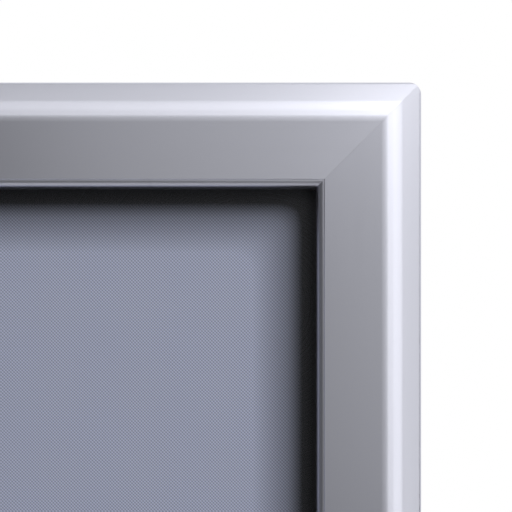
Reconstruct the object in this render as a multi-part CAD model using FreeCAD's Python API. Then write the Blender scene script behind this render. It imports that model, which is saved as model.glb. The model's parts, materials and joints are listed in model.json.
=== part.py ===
"""Double-sided pavement sign: two mitred aluminium snap frames on legs that fold about a top hinge.

World frame: +Z up, X across the board, the front poster faces -Y. Origin on the floor under the middle.
Panel frame: the same axes with its origin on the hinge axis and the panel upright; the front poster
faces -Y. A rail's section is drawn as (inset, depth): inset runs inwards from the frame's outer edge,
depth runs from the frame's back face towards the viewer.
"""
import FreeCAD, Part
import math
import os

Vector = FreeCAD.Vector

# ---------------------------------------------------------------- driving dimensions, mm and degrees
VISIBLE_WIDTH = 574.0        # poster area left open by the rails (A1 sheet less 10 mm under each lip)
VISIBLE_HEIGHT = 821.0
RAIL_FACE = 32.0             # width of the mitred face
SHEET_OVERLAP = 10.0         # how far the sheets run under the lip
LEAN = 12.0                  # each panel's lean from upright when the board stands open
FRAME_ABOVE_AXIS = 30.0      # top edge of the frame above the hinge axis
CORNER_RADIUS = 3.0          # rounded outer corners of the mitred frame
MITRE_GAP = 0.1              # each snap rail stops this far short of the mitre line

WALL = 1.3                   # wall of the snap rail
SKIRT_TOP = 11.5             # depth where the snap rail's outer side turns over
SKIRT_BEND = (0.35, 0.85)     # middle of the skirt's bend: inset, and rise above the skirt
BAND_START = (1.1, 1.25)      # end of the bend, measured the same way
RELIEF_DEPTH = 2.5            # how deep the corner wedges cut into the skirt
BAND_END = (5.4, 14.3)       # end of the gently sloping outer band
RIDGE_PEAK = (8.0, 15.2)
BEVEL_START = (10.8, 14.75)
BEVEL_END = (29.9, 11.4)
LIP_GROOVE = 0.5             # depth of the fine groove between bevel and lip
LIP_RADIUS = 1.0
LIP_WALL = 1.2
LIP_GAP = 0.3                # lip to cover sheet

PIVOT = (3.6, 5.6)           # snap rail hinge line, inset and depth
BEAD_RADIUS = 1.1
SOCKET_CLEARANCE = 0.07
SOCKET_OUTER = 2.0
SOCKET_OPENS = (50.0, 215.0)
BEAD_LEG = 0.9
BEAD_SETBACK = 14.0          # bead and socket stop short of the corners
SNAP_RIB = (11.6, 1.0, 2.6)  # inset, thickness and height of the rib that the leaf springs bear on

BASE_FLOOR = 1.6
BASE_WIDTH = 30.0
SOCKET_WEB = (4.2, 1.2)      # inset and thickness
CHANNEL_RIB = (9.0, 1.2, 2.6)
SHEET_STOP = (20.0, 1.2, 3.0)
BACK_PANEL_THICKNESS = 1.0
COVER_THICKNESS = 0.8

KEY_INSETS = (10.6, 19.6)
KEY_THICKNESS = 2.4
KEY_LENGTH = 52.0
SCREW_RADIUS = 2.0
SCREW_HEAD = (3.4, 1.5)
SCREW_INSET = 42.0

SPRING_LENGTH = 46.0
SPRING_THICKNESS = 0.6
SPRING_RISE = 5.8

LEG_WIDTH = 25.0
LEG_DEPTH = 12.0
LEG_WALL = 1.5
LEG_ROUND = 1.0              # outer long edges of the tube
LEG_OUTER_INSET = 2.0        # leg's outer face from the frame's outer edge
LEG_BACK_GAP = 1.0           # leg's back face to the hinge plane
LEG_ABOVE_AXIS = 3.0
LEG_BELOW_AXIS = 1085.0
CAP_THICKNESS = 1.2
CAP_PLUG = 12.0
CAP_INSET = 0.4              # lid's sides inside the tube's
CAP_ROUND = 0.6
PLUG_CLEARANCE = 0.15

FOOT_FLANGE = 1.6
FOOT_ROUND = 1.2
FOOT_SLEEVE = 20.0
FOOT_LIFT = 5.0              # lowest corner of the leg tube above the floor

RIVET_RADIUS = 2.4
RIVET_HEAD = (4.4, 1.2)
RIVET_TAIL = (3.5, 2.5)
HOLE_CLEARANCE = 0.05
FRAME_RIVETS_BELOW_TOP = (110.0, 360.0, 610.0, 820.0)

PLATE_THICKNESS = 2.5
PLATE_GAP = 0.3
PLATE_MARGIN = 1.0           # plate's edges inside the leg's edges
PLATE_HEAD_RADIUS = 9.0
PLATE_LENGTH = 78.0
PLATE_STEP = 15.0            # where the rear plate steps inboard, below the axis
HINGE_RIVETS_BELOW_AXIS = (34.0, 64.0)
HINGE_PIN_RADIUS = 3.5
HINGE_PIN_HEAD = (6.0, 1.8)
HINGE_PIN_CLEARANCE = 0.06

STAY_THICKNESS = 2.0
STAY_WIDTH = 10.0
STAY_GAP = 0.3
STAY_FRONT_DOWN = 200.0      # front pivot below the hinge axis, along the leg
STAY_REAR_DOWN = 600.0       # rear pin below the hinge axis, along the leg
STAY_OFFSET = 6.5            # both stay pivots from the hinge plane
STAY_PIN_RADIUS = 3.0
STAY_PIN_HEAD = (5.5, 1.6)
STAY_CLEARANCE = 0.06
SLOT_CLEARANCE = 0.15

# ---------------------------------------------------------------- derived sizes
FRAME_WIDTH = VISIBLE_WIDTH + 2 * RAIL_FACE
FRAME_HEIGHT = VISIBLE_HEIGHT + 2 * RAIL_FACE
FRAME_BACK = LEG_BACK_GAP + LEG_DEPTH
FRAME_CENTRE = FRAME_ABOVE_AXIS - FRAME_HEIGHT / 2
SHEET_WIDTH = VISIBLE_WIDTH + 2 * SHEET_OVERLAP
SHEET_HEIGHT = VISIBLE_HEIGHT + 2 * SHEET_OVERLAP
COVER_TOP = BASE_FLOOR + BACK_PANEL_THICKNESS + COVER_THICKNESS
LEG_CENTRE_X = FRAME_WIDTH / 2 - LEG_OUTER_INSET - LEG_WIDTH / 2
LEG_INNER_X = LEG_CENTRE_X - LEG_WIDTH / 2
LEG_CENTRE_Y = -(LEG_BACK_GAP + LEG_DEPTH / 2)
SINE = math.sin(math.radians(LEAN))
COSINE = math.cos(math.radians(LEAN))
AXIS_HEIGHT = FOOT_LIFT + LEG_BELOW_AXIS * COSINE - LEG_BACK_GAP * SINE

PANELS = ("front", "rear")
SIDES = {"left": -1, "right": 1}
RAIL_TURNS = {"top": 0, "right": 90, "bottom": 180, "left": -90}


# ---------------------------------------------------------------- general helpers
def box(low, high):
    """A box between two corners."""
    corner = Vector(*(min(a, b) for a, b in zip(low, high)))
    sizes = [abs(b - a) for a, b in zip(low, high)]
    return Part.makeBox(*sizes, corner)


def rod(radius, start, end):
    """A round bar between two points."""
    start = Vector(*start)
    path = Vector(*end) - start
    return Part.makeCylinder(radius, path.Length, start, path)


def polygon_face(points):
    """A flat face inside straight edges."""
    corners = [Vector(*point) for point in points]
    return Part.Face(Part.makePolygon(corners + corners[:1]))


def fuse_all(shapes):
    """One clean solid from overlapping shapes."""
    return shapes[0].multiFuse(shapes[1:]).removeSplitter()


def to_world(shape, panel):
    """Move a shape from the panel frame to where that panel stands when the board is open."""
    placed = shape.copy()
    axis_x = Vector(1, 0, 0)
    origin = Vector(0, 0, 0)
    if panel == "rear":
        placed.rotate(origin, Vector(0, 0, 1), 180)
        placed.rotate(origin, axis_x, LEAN)
    else:
        placed.rotate(origin, axis_x, -LEAN)
    placed.translate(Vector(0, 0, AXIS_HEIGHT))
    return placed


def export(name, shapes):
    """Write one node from one solid or from a group of separate solids."""
    group = shapes if isinstance(shapes, list) else [shapes]
    solids = [solid for shape in group for solid in shape.Solids]
    if len(solids) != len(group) or not all(solid.isValid() for solid in solids):
        raise ValueError(f"{name}: expected {len(group)} valid solids, got {len(solids)}")
    result = solids[0] if len(solids) == 1 else Part.makeCompound(solids)
    result.exportStep(f"parts/{name}.step")


# ---------------------------------------------------------------- rails
def section_point(inset, depth, distance):
    """A point of a rail's section, for a rail that runs along X above the frame's centre."""
    return Vector(0, -depth, distance - inset)


def section_face(steps, distance):
    """A face from (inset, depth) points; a step of two points is an arc through the first."""
    edges = []
    first = section_point(*steps[0], distance)
    here = first
    for step in steps[1:] + [steps[0]]:
        if isinstance(step[0], tuple):
            middle = section_point(*step[0], distance)
            there = section_point(*step[1], distance)
            edges.append(Part.Arc(here, middle, there).toShape())
        else:
            there = section_point(*step, distance)
            edges.append(Part.makeLine(here, there))
        here = there
    return Part.Face(Part.Wire(edges))


def run_along(face, length):
    """Extrude a section along X, centred on the frame's middle."""
    solid = face.extrude(Vector(length, 0, 0))
    solid.translate(Vector(-length / 2, 0, 0))
    return solid


def polar(angle, radius):
    """A point around the snap rail's pivot, as inset and depth."""
    turn = math.radians(angle)
    return (PIVOT[0] + radius * math.cos(turn), PIVOT[1] + radius * math.sin(turn))


def mitred(solid, length, distance, gap):
    """Cut both ends at 45 degrees, leaving a gap to the mitre line."""
    reach = BASE_WIDTH + 3 * WALL
    depth = 3 * RAIL_FACE
    for end in (-1, 1):
        tip = length / 2 - gap
        corners = [
            (end * (tip + reach), -depth, distance + reach),
            (end * (tip - reach), -depth, distance - reach),
            (end * (tip + reach), -depth, distance - reach),
        ]
        wedge = polygon_face(corners).extrude(Vector(0, 2 * depth, 0))
        solid = solid.cut(wedge)
    return solid


def frame_outline(distance_x, distance_z):
    """A block with the frame's rounded outline, to round the corners of the mitred rails."""
    low = (-distance_x, -RAIL_FACE, -distance_z)
    high = (distance_x, RAIL_FACE, distance_z)
    block = box(low, high)
    upright = [edge for edge in block.Edges if abs(edge.tangentAt(0).y) > 0.5]
    return block.makeFillet(CORNER_RADIUS, upright)


def snap_rail_shell(length, distance):
    """The cover profile: skirt, outer band, ridge, bevel and lip, as one bent wall."""
    skirt_bottom = PIVOT[1] + SOCKET_CLEARANCE
    skirt_curve = (SKIRT_BEND[0], SKIRT_TOP + SKIRT_BEND[1])
    band_start = (BAND_START[0], SKIRT_TOP + BAND_START[1])
    lip_bottom = COVER_TOP + LIP_GAP
    groove_floor = BEVEL_END[1] - LIP_GROOVE
    lip_start = (RAIL_FACE - 2 * LIP_RADIUS + 0.4, groove_floor)
    lip_crown = (RAIL_FACE - LIP_RADIUS + 0.1, groove_floor + 0.1)
    lip_turn = (RAIL_FACE - 0.3 * LIP_RADIUS, groove_floor - 0.2 * LIP_RADIUS)
    lip_end = (RAIL_FACE, groove_floor - LIP_RADIUS)
    inner = RAIL_FACE - LIP_WALL
    steps = [
        (0.0, skirt_bottom),
        (0.0, SKIRT_TOP),
        (skirt_curve, band_start),
        BAND_END,
        (RIDGE_PEAK, BEVEL_START),
        BEVEL_END,
        lip_start,
        lip_crown,
        (lip_turn, lip_end),
        (RAIL_FACE, lip_bottom),
        (inner, lip_bottom),
        (inner, groove_floor - WALL),
        (BEVEL_END[0] - WALL, BEVEL_END[1] - WALL),
        (BEVEL_START[0] - 0.2, BEVEL_START[1] - WALL),
        ((RIDGE_PEAK[0], RIDGE_PEAK[1] - WALL), (BAND_END[0] + 0.3, BAND_END[1] - WALL)),
        (WALL, SKIRT_TOP),
        (WALL, skirt_bottom),
    ]
    return run_along(section_face(steps, distance), length)


def snap_rail_inside(length, distance):
    """The hinge bead on its leg, and the rib for the leaf springs, all set back from the mitres."""
    inside_length = length - 2 * (BEAD_SETBACK + RAIL_FACE / 4)
    half = inside_length / 2
    centre_z = distance - PIVOT[0]
    bead = rod(BEAD_RADIUS, (-half, -PIVOT[1], centre_z), (half, -PIVOT[1], centre_z))
    leg_top = SKIRT_TOP + WALL
    leg = box((-half, -PIVOT[1], centre_z - BEAD_LEG / 2), (half, -leg_top, centre_z + BEAD_LEG / 2))
    rib_inset, rib_thickness, rib_height = SNAP_RIB
    rib_top = BEVEL_START[1] - WALL / 2
    rib_half = half - RAIL_FACE
    rib_z = distance - rib_inset
    rib = box((-rib_half, -rib_top, rib_z), (rib_half, rib_height - rib_top, rib_z - rib_thickness))
    return [bead, leg, rib]


def skirt_reliefs(length, distance):
    """Corner wedges off the skirt, so that two neighbouring rails can stand open together."""
    reach = PIVOT[0] + LIP_GAP
    wedges = []
    for end in (-1, 1):
        corners = [
            (end * (length / 2 + 1), 1 - PIVOT[1], distance + 1),
            (end * (length / 2 + 1), -(PIVOT[1] + reach + 1), distance + 1),
            (end * (length / 2 - reach - 1), 1 - PIVOT[1], distance + 1),
        ]
        wedges.append(polygon_face(corners).extrude(Vector(0, 0, -RELIEF_DEPTH)))
    return wedges


def snap_rail(length, distance):
    """A complete snap rail along X, at its distance from the frame's centre."""
    shell = mitred(snap_rail_shell(length, distance), length, distance, MITRE_GAP)
    shell = shell.common(frame_outline(length / 2, distance))
    for wedge in skirt_reliefs(length, distance):
        shell = shell.cut(wedge)
    return fuse_all([shell] + snap_rail_inside(length, distance))


def base_rail_socket(length, distance):
    """The round socket and its web, which carry the snap rail's bead."""
    opens, closes = SOCKET_OPENS
    hole = BEAD_RADIUS + SOCKET_CLEARANCE
    middle = (opens + closes + 360) / 2
    steps = [
        polar(closes, SOCKET_OUTER),
        (polar(middle, SOCKET_OUTER), polar(opens, SOCKET_OUTER)),
        polar(opens, hole),
        (polar(middle, hole), polar(closes, hole)),
    ]
    socket_length = length - 2 * BEAD_SETBACK
    ring = run_along(section_face(steps, distance), socket_length)
    inset, thickness = SOCKET_WEB
    web_top = PIVOT[1] - hole
    half = socket_length / 2
    web = box(
        (-half, -BASE_FLOOR / 2, distance - inset),
        (half, -web_top, distance - inset - thickness),
    )
    return [ring, web]


def base_rail(length, distance, rivet_places):
    """A base rail along X: floor, channel ribs and hinge socket, with its rivet holes."""
    half = length / 2
    pieces = [box((-half, 0, distance), (half, -BASE_FLOOR, distance - BASE_WIDTH))]
    for inset, thickness, height in (CHANNEL_RIB, SHEET_STOP):
        low = (-half, -BASE_FLOOR / 2, distance - inset)
        high = (half, -(BASE_FLOOR + height), distance - inset - thickness)
        pieces.append(box(low, high))
    rail = mitred(fuse_all(pieces), length, distance, 0)
    rail = rail.common(frame_outline(length / 2, distance))
    rail = fuse_all([rail] + base_rail_socket(length, distance))
    rivet_z = distance - LEG_OUTER_INSET - LEG_WIDTH / 2
    for place in rivet_places:
        hole = rod(RIVET_RADIUS + HOLE_CLEARANCE, (place, 1, rivet_z), (place, -2 * BASE_FLOOR, rivet_z))
        rail = rail.cut(hole)
    return rail


def turn_rail(shape, side):
    """Turn a rail from the top of the frame to its own side, and set it in the panel frame."""
    turned = shape.copy()
    turned.rotate(Vector(0, 0, 0), Vector(0, 1, 0), RAIL_TURNS[side])
    turned.translate(Vector(0, -FRAME_BACK, FRAME_CENTRE))
    return turned


def rail_run(side):
    """Length of a side's rail, and its distance from the frame's centre."""
    if side in ("top", "bottom"):
        return FRAME_WIDTH, FRAME_HEIGHT / 2
    return FRAME_HEIGHT, FRAME_WIDTH / 2


# ---------------------------------------------------------------- pieces inside the frame
def leaf_spring(place, distance):
    """One arched leaf spring in the base rail's channel, at a place along the rail."""
    start = KEY_INSETS[0]
    end = KEY_INSETS[1]
    middle = (start + end) / 2
    floor = BASE_FLOOR
    thickness = SPRING_THICKNESS
    steps = [
        (start, floor),
        ((middle, floor + SPRING_RISE), (end, floor)),
        (end - thickness, floor),
        ((middle, floor + SPRING_RISE - thickness), (start + thickness, floor)),
    ]
    spring = run_along(section_face(steps, distance), SPRING_LENGTH)
    spring.translate(Vector(place, 0, 0))
    return spring


def leaf_springs():
    """All leaf springs of one panel: three along each rail."""
    springs = []
    for side in RAIL_TURNS:
        length, distance = rail_run(side)
        for place in (-length / 4, 0.0, length / 4):
            springs.append(turn_rail(leaf_spring(place, distance), side))
    return springs


def corner_places():
    """The four corners of the frame, as signs of x and z."""
    return [(sign_x, sign_z) for sign_z in (1, -1) for sign_x in (-1, 1)]


def corner_point(signs, inset_x, inset_z, depth):
    """A panel-frame point measured inwards from one outer corner of the frame."""
    x = signs[0] * (FRAME_WIDTH / 2 - inset_x)
    z = FRAME_CENTRE + signs[1] * (FRAME_HEIGHT / 2 - inset_z)
    return (x, -(FRAME_BACK + depth), z)


def screw_insets():
    """The two screw places on a corner key."""
    lane = sum(KEY_INSETS) / 2
    return ((lane, SCREW_INSET), (SCREW_INSET, lane))


def corner_key(signs):
    """An L-shaped key that joins two base rails through their channels."""
    near, far = KEY_INSETS
    low = BASE_FLOOR
    high = BASE_FLOOR + KEY_THICKNESS
    upright = box(corner_point(signs, near, near, low), corner_point(signs, far, KEY_LENGTH, high))
    level = box(corner_point(signs, near, near, low), corner_point(signs, KEY_LENGTH, far, high))
    key = fuse_all([upright, level])
    for inset_x, inset_z in screw_insets():
        start = corner_point(signs, inset_x, inset_z, 0)
        end = corner_point(signs, inset_x, inset_z, 2 * high)
        key = key.cut(rod(SCREW_RADIUS + HOLE_CLEARANCE, start, end))
    return key


def corner_screws(signs):
    """The two screws that clamp a corner key."""
    head_radius, head_height = SCREW_HEAD
    low = BASE_FLOOR
    high = BASE_FLOOR + KEY_THICKNESS
    screws = []
    for inset_x, inset_z in screw_insets():
        foot = corner_point(signs, inset_x, inset_z, low)
        neck = corner_point(signs, inset_x, inset_z, high)
        crown = corner_point(signs, inset_x, inset_z, high + head_height)
        screws.append(fuse_all([rod(SCREW_RADIUS, foot, crown), rod(head_radius, neck, crown)]))
    return screws


def sheet(low_depth, thickness, half_cut=0.0):
    """A flat sheet that fills the frame under the lips."""
    half_x = SHEET_WIDTH / 2 - half_cut
    half_z = SHEET_HEIGHT / 2 - half_cut
    low = (-half_x, -(FRAME_BACK + low_depth), FRAME_CENTRE - half_z)
    high = (half_x, -(FRAME_BACK + low_depth + thickness), FRAME_CENTRE + half_z)
    return box(low, high)


# ---------------------------------------------------------------- legs, caps, feet and rivets
def leg_block(sign, clearance, low_z, high_z):
    """The leg's outline as a block, grown or shrunk by a clearance."""
    half_x = LEG_WIDTH / 2 + clearance
    half_y = LEG_DEPTH / 2 + clearance
    centre_x = sign * LEG_CENTRE_X
    low = (centre_x - half_x, LEG_CENTRE_Y - half_y, low_z)
    return box(low, (centre_x + half_x, LEG_CENTRE_Y + half_y, high_z))


def frame_rivet_heights():
    """Heights of the frame rivets in the panel frame."""
    return [FRAME_ABOVE_AXIS - below for below in FRAME_RIVETS_BELOW_TOP]


def leg(sign, side_holes):
    """A rectangular tube, drilled for the frame rivets and for its side hardware."""
    outer = leg_block(sign, 0, -LEG_BELOW_AXIS, LEG_ABOVE_AXIS)
    rounded = [edge for edge in outer.Edges if abs(edge.tangentAt(0).z) > 0.5]
    tube = outer.makeFillet(LEG_ROUND, rounded)
    tube = tube.cut(leg_block(sign, -LEG_WALL, -LEG_BELOW_AXIS - 1, LEG_ABOVE_AXIS + 1))
    front_face = -FRAME_BACK
    centre_x = sign * LEG_CENTRE_X
    for height in frame_rivet_heights():
        start = (centre_x, front_face - 1, height)
        end = (centre_x, front_face + 2 * LEG_WALL, height)
        tube = tube.cut(rod(RIVET_RADIUS + HOLE_CLEARANCE, start, end))
    for height, centre_y, radius in side_holes:
        start = (sign * (LEG_INNER_X - 1), centre_y, height)
        end = (sign * (LEG_INNER_X + 2 * LEG_WALL), centre_y, height)
        tube = tube.cut(rod(radius + HOLE_CLEARANCE, start, end))
    return tube


def leg_cap(sign):
    """A plastic plug that closes the top of a leg."""
    top = LEG_ABOVE_AXIS
    lid = leg_block(sign, -CAP_INSET, top, top + CAP_THICKNESS)
    rim = [edge for edge in lid.Edges if edge.BoundBox.ZMin > top + CAP_THICKNESS / 2]
    lid = lid.makeFillet(CAP_ROUND, rim)
    plug = leg_block(sign, -(LEG_WALL + PLUG_CLEARANCE), top - CAP_PLUG, top)
    return fuse_all([lid, plug])


def foot(sign, panel):
    """A rubber foot around the end of a leg, cut level with the floor. Returned in the world frame."""
    end = -LEG_BELOW_AXIS
    half_x = LEG_WIDTH / 2 + FOOT_FLANGE
    centre_x = sign * LEG_CENTRE_X
    back = -LEG_BACK_GAP
    front = -(LEG_BACK_GAP + LEG_DEPTH + FOOT_FLANGE)
    pad = box((centre_x - half_x, front, end - 4 * FOOT_LIFT), (centre_x + half_x, back, end + FOOT_SLEEVE))
    softened = [edge for edge in pad.Edges if abs(edge.tangentAt(0).z) > 0.5]
    softened += [edge for edge in pad.Edges if edge.BoundBox.ZMin > end]
    pad = pad.makeFillet(FOOT_ROUND, [edge for edge in softened if edge.BoundBox.YMax < back - 0.5])
    pad = pad.cut(leg_block(sign, 0.0, end, end + 2 * FOOT_SLEEVE))
    plug = leg_block(sign, -(LEG_WALL + PLUG_CLEARANCE), end - 1, end + FOOT_SLEEVE)
    placed = to_world(fuse_all([pad, plug]), panel)
    below_floor = box((-FRAME_WIDTH, -FRAME_HEIGHT, -FRAME_WIDTH), (FRAME_WIDTH, FRAME_HEIGHT, 0))
    return placed.cut(below_floor)


def frame_rivet(sign, height):
    """A blind rivet through the side base rail and the front wall of the leg."""
    centre_x = sign * LEG_CENTRE_X
    head_radius, head_height = RIVET_HEAD
    tail_radius, tail_length = RIVET_TAIL
    floor = -(FRAME_BACK + BASE_FLOOR)
    wall = -FRAME_BACK + LEG_WALL
    shank = rod(RIVET_RADIUS, (centre_x, floor, height), (centre_x, wall, height))
    head = rod(head_radius, (centre_x, floor, height), (centre_x, floor - head_height, height))
    tail = rod(tail_radius, (centre_x, wall, height), (centre_x, wall + tail_length, height))
    return fuse_all([shank, head, tail])


def side_rivet(sign, height, centre_y, inner_x, radius, head):
    """A rivet along X through the leg's inner wall. Without a head it ends flush at inner_x."""
    inside = LEG_INNER_X + LEG_WALL
    stretches = [(radius, inner_x, inside), (radius + 1, inside, inside + RIVET_TAIL[1])]
    if head:
        stretches.append((head[0], inner_x - head[1], inner_x))
    pieces = [
        rod(size, (sign * near, centre_y, height), (sign * far, centre_y, height))
        for size, near, far in stretches
    ]
    return fuse_all(pieces)


# ---------------------------------------------------------------- top hinge
def plate_edges():
    """Front and back edge of a hinge plate, just inside the leg's own."""
    half = LEG_DEPTH / 2 - PLATE_MARGIN
    return LEG_CENTRE_Y - half, LEG_CENTRE_Y + half


def plate_strip(sign, low_x, top_z, bottom_z):
    """A flat part of a hinge plate beside the leg, between two heights."""
    front, back = plate_edges()
    return box((sign * low_x, front, bottom_z), (sign * (low_x + PLATE_THICKNESS), back, top_z))


def plate_head(sign, low_x, bottom_z):
    """The rounded top of a hinge plate, from its lug on the axis down beside the leg."""
    high_x = low_x + PLATE_THICKNESS
    lug = rod(PLATE_HEAD_RADIUS, (sign * low_x, 0, 0), (sign * high_x, 0, 0))
    front, back = plate_edges()
    outline = [
        (-0.98 * PLATE_HEAD_RADIUS, 0),
        (front, bottom_z / 2),
        (front, bottom_z),
        (back, bottom_z),
        (0.8 * PLATE_HEAD_RADIUS, -0.5 * PLATE_HEAD_RADIUS),
    ]
    corners = [(sign * low_x, y, z) for y, z in outline]
    blade = polygon_face(corners).extrude(Vector(sign * PLATE_THICKNESS, 0, 0))
    return [lug, blade]


def hinge_plate(sign, panel):
    """Front plates lie flat on the legs; rear plates step inboard past them to share the pin."""
    outer_x = LEG_INNER_X - PLATE_THICKNESS
    inner_x = outer_x - PLATE_GAP - PLATE_THICKNESS
    pin_clearance = HOLE_CLEARANCE
    if panel == "front":
        pieces = plate_head(sign, outer_x, -PLATE_STEP)
        pieces.append(plate_strip(sign, outer_x, 1 - PLATE_STEP, -PLATE_LENGTH))
    else:
        pin_clearance = HINGE_PIN_CLEARANCE
        pieces = plate_head(sign, inner_x, -PLATE_STEP)
        step_low = 1 - PLATE_STEP - PLATE_THICKNESS
        pieces.append(plate_strip(sign, inner_x, 1 - PLATE_STEP, step_low))
        pieces.append(plate_strip(sign, (inner_x + outer_x) / 2, 1 - PLATE_STEP, step_low))
        pieces.append(plate_strip(sign, outer_x, 1 - PLATE_STEP, -PLATE_LENGTH))
    plate = fuse_all(pieces)
    reach = (sign * (inner_x - 1), sign * (outer_x + PLATE_THICKNESS + 1))
    plate = plate.cut(rod(HINGE_PIN_RADIUS + pin_clearance, (reach[0], 0, 0), (reach[1], 0, 0)))
    for below in HINGE_RIVETS_BELOW_AXIS:
        start = (reach[0], LEG_CENTRE_Y, -below)
        end = (reach[1], LEG_CENTRE_Y, -below)
        plate = plate.cut(rod(RIVET_RADIUS + HOLE_CLEARANCE, start, end))
    return plate


def hinge_pin(sign):
    """The pin on the hinge axis, fast in the front plate and free in the rear plate."""
    head_radius, head_height = HINGE_PIN_HEAD
    outer = LEG_INNER_X
    inner = LEG_INNER_X - 2 * PLATE_THICKNESS - 2 * PLATE_GAP
    shank = rod(HINGE_PIN_RADIUS, (sign * inner, 0, 0), (sign * outer, 0, 0))
    head = rod(head_radius, (sign * (inner - head_height), 0, 0), (sign * inner, 0, 0))
    return fuse_all([shank, head])


# ---------------------------------------------------------------- stays
def stay_ends():
    """Both stay pivots in the world when open: the front one, and the pin on the rear leg."""
    front_y = -(STAY_OFFSET * COSINE + STAY_FRONT_DOWN * SINE)
    front_z = AXIS_HEIGHT - STAY_FRONT_DOWN * COSINE + STAY_OFFSET * SINE
    rear_y = STAY_OFFSET * COSINE + STAY_REAR_DOWN * SINE
    rear_z = AXIS_HEIGHT - STAY_REAR_DOWN * COSINE + STAY_OFFSET * SINE
    return (front_y, front_z), (rear_y, rear_z)


def stay(sign):
    """A flat bar, pivoted on the front leg and slotted over the rear pin. World frame, board open."""
    (front_y, front_z), (rear_y, rear_z) = stay_ends()
    open_reach = math.hypot(rear_y - front_y, rear_z - front_z)
    closed_reach = math.hypot(2 * STAY_OFFSET, STAY_REAR_DOWN - STAY_FRONT_DOWN)
    outer_x = LEG_INNER_X - STAY_GAP
    inner_x = outer_x - STAY_THICKNESS
    half = STAY_WIDTH / 2
    bar = fuse_all([
        box((inner_x, 0, -half), (outer_x, open_reach, half)),
        rod(half, (inner_x, 0, 0), (outer_x, 0, 0)),
        rod(half, (inner_x, open_reach, 0), (outer_x, open_reach, 0)),
    ])
    slot_half = STAY_PIN_RADIUS + SLOT_CLEARANCE
    slot = fuse_all([
        box((inner_x - 1, closed_reach, -slot_half), (outer_x + 1, open_reach, slot_half)),
        rod(slot_half, (inner_x - 1, closed_reach, 0), (outer_x + 1, closed_reach, 0)),
        rod(slot_half, (inner_x - 1, open_reach, 0), (outer_x + 1, open_reach, 0)),
    ])
    pivot_hole = rod(STAY_PIN_RADIUS + STAY_CLEARANCE, (inner_x - 1, 0, 0), (outer_x + 1, 0, 0))
    bar = bar.cut(slot).cut(pivot_hole)
    slope = math.degrees(math.atan2(rear_z - front_z, rear_y - front_y))
    bar.rotate(Vector(0, 0, 0), Vector(1, 0, 0), slope)
    bar.translate(Vector(0, front_y, front_z))
    if sign < 0:
        bar = bar.mirror(Vector(0, 0, 0), Vector(1, 0, 0))
    return bar


# ---------------------------------------------------------------- the whole board
def world_side(sign, panel):
    """Name of the world side where a panel-frame sign ends up."""
    turned = sign if panel == "front" else -sign
    return "right" if turned > 0 else "left"


def world_rail(side, panel):
    """Name of the world side where a panel-frame rail ends up."""
    return world_side(SIDES[side], panel) if side in SIDES else side


def make_frame(panel):
    """Base rails, snap rails and what they hold."""
    for side in RAIL_TURNS:
        length, distance = rail_run(side)
        rivet_places = []
        if side in SIDES:
            rivet_places = [SIDES[side] * (FRAME_CENTRE - height) for height in frame_rivet_heights()]
        name = world_rail(side, panel)
        base = turn_rail(base_rail(length, distance, rivet_places), side)
        export(f"{panel}_{name}_base_rail", to_world(base, panel))
        snap = turn_rail(snap_rail(length, distance), side)
        export(f"{panel}_{name}_snap_rail", to_world(snap, panel))
    export(f"{panel}_leaf_springs", [to_world(spring, panel) for spring in leaf_springs()])
    keys = [corner_key(signs) for signs in corner_places()]
    export(f"{panel}_corner_keys", [to_world(key, panel) for key in keys])
    screws = [screw for signs in corner_places() for screw in corner_screws(signs)]
    export(f"{panel}_corner_screws", [to_world(screw, panel) for screw in screws])
    back_panel = sheet(BASE_FLOOR, BACK_PANEL_THICKNESS)
    export(f"{panel}_back_panel", to_world(back_panel, panel))
    cover = sheet(BASE_FLOOR + BACK_PANEL_THICKNESS, COVER_THICKNESS, HOLE_CLEARANCE)
    export(f"{panel}_cover_sheet", to_world(cover, panel))


def make_legs(panel):
    """Legs with their caps, feet and rivets."""
    stay_height = -STAY_FRONT_DOWN if panel == "front" else -STAY_REAR_DOWN
    side_holes = [(-below, LEG_CENTRE_Y, RIVET_RADIUS) for below in HINGE_RIVETS_BELOW_AXIS]
    side_holes.append((stay_height, -STAY_OFFSET, STAY_PIN_RADIUS))
    caps = []
    for sign in SIDES.values():
        name = world_side(sign, panel)
        export(f"{panel}_{name}_leg", to_world(leg(sign, side_holes), panel))
        export(f"{panel}_{name}_foot", foot(sign, panel))
        caps.append(to_world(leg_cap(sign), panel))
    export(f"{panel}_leg_caps", caps)
    rivets = [frame_rivet(sign, height) for sign in SIDES.values() for height in frame_rivet_heights()]
    export(f"{panel}_frame_rivets", [to_world(rivet, panel) for rivet in rivets])


def make_hinge(panel):
    """Hinge plates and their rivets."""
    rivets = []
    head_x = LEG_INNER_X - PLATE_THICKNESS
    for sign in SIDES.values():
        plate = to_world(hinge_plate(sign, panel), panel)
        export(f"{panel}_{world_side(sign, panel)}_hinge_plate", plate)
        for below in HINGE_RIVETS_BELOW_AXIS:
            rivet = side_rivet(sign, -below, LEG_CENTRE_Y, head_x, RIVET_RADIUS, RIVET_HEAD)
            rivets.append(to_world(rivet, panel))
    export(f"{panel}_hinge_rivets", rivets)


def make_stays():
    """Stay bars, the rivets they turn on, and the pins on the rear legs."""
    head_x = LEG_INNER_X - 2 * STAY_GAP - STAY_THICKNESS
    pivots = []
    pins = []
    for name, sign in SIDES.items():
        export(f"{name}_stay", stay(sign))
        pivot = side_rivet(sign, -STAY_FRONT_DOWN, -STAY_OFFSET, head_x, STAY_PIN_RADIUS, STAY_PIN_HEAD)
        pivots.append(to_world(pivot, "front"))
        flush = side_rivet(sign, -STAY_REAR_DOWN, -STAY_OFFSET, LEG_INNER_X, STAY_PIN_RADIUS, None)
        pins.append(to_world(flush, "rear"))
    export("stay_pivot_rivets", pivots)
    export("stay_slot_pins", pins)


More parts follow.
